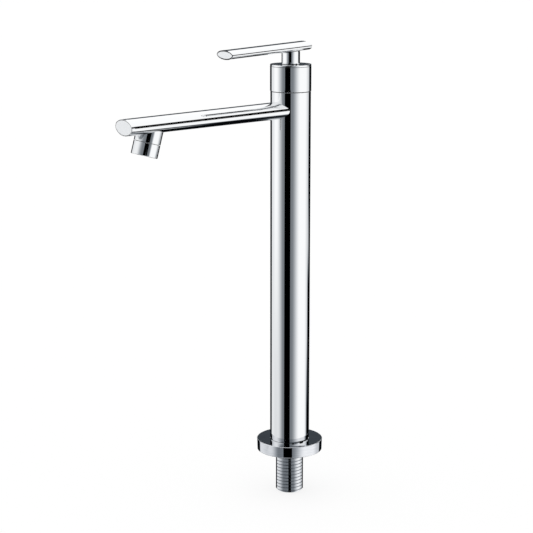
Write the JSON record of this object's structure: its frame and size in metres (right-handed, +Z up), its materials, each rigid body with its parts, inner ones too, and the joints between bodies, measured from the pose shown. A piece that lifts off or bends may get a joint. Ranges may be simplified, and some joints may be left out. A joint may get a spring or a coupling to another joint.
{
  "type": "cold water basin tap",
  "caption": "Tall single-inlet basin tap: round column on a flange, sloping oval spout with a tilted aerated outlet, and a flat lever on top that turns a ceramic disc valve.",
  "frame": {"origin": "centre of the flange's underside, where the tap meets the basin", "axes": "+Z up the column, -Y along the spout, +X to the right of someone who faces the spout's back"},
  "size_m": [0.05, 0.1651, 0.3444],
  "materials": {
    "chrome_plate": "polished chrome plate on brass",
    "chrome_thread": "chrome plate on a cut thread",
    "turned_brass": "machined, unplated",
    "stainless_steel": "bright stainless steel",
    "black_rubber": "moulded EPDM rubber",
    "fibre": "pressed red fibre",
    "white_acetal": "moulded acetal",
    "black_acetal": "moulded black acetal",
    "alumina": "lapped alumina ceramic, opaque"
  },
  "bodies": {
    "base": {"base_flange": "chrome_plate", "base_gasket": "black_rubber", "inlet_tail": "chrome_thread", "tail_washer": "fibre", "foot_plug": "turned_brass", "riser_pipe": "turned_brass", "lower_riser_seal": "black_rubber", "upper_riser_seal": "black_rubber", "column_tube": "chrome_plate", "valve_body": "turned_brass", "spout_tube": "chrome_plate", "spout_end_plate": "chrome_plate", "spout_root_block": "turned_brass", "spout_nipple": "turned_brass", "outlet_collar": "chrome_plate", "aerator_washer": "black_rubber", "aerator_housing": "chrome_plate", "aerator_insert": "white_acetal", "flow_screen": "stainless_steel", "cartridge_seal": "black_rubber", "fixed_disc": "alumina", "cartridge_body": "turned_brass", "thrust_ring": "white_acetal", "shoulder_seal": "black_rubber", "glide_ring": "black_acetal"},
    "handle": {"moving_disc": "alumina", "spindle": "turned_brass", "spindle_seals": "black_rubber", "spindle_clip": "stainless_steel", "handle_cap": "chrome_plate", "handle_set_screw": "stainless_steel", "screw_cover": "chrome_plate", "handle_post": "chrome_plate", "handle_stud": "stainless_steel", "handle_bar": "chrome_plate"}
  },
  "joints": [
    {"name": "handle_turn", "type": "hinge", "parent": "base", "child": "handle", "pos_m": [0, 0, 0.28], "axis": [0, 0, 1], "range_deg": [0, 90]}
  ]
}
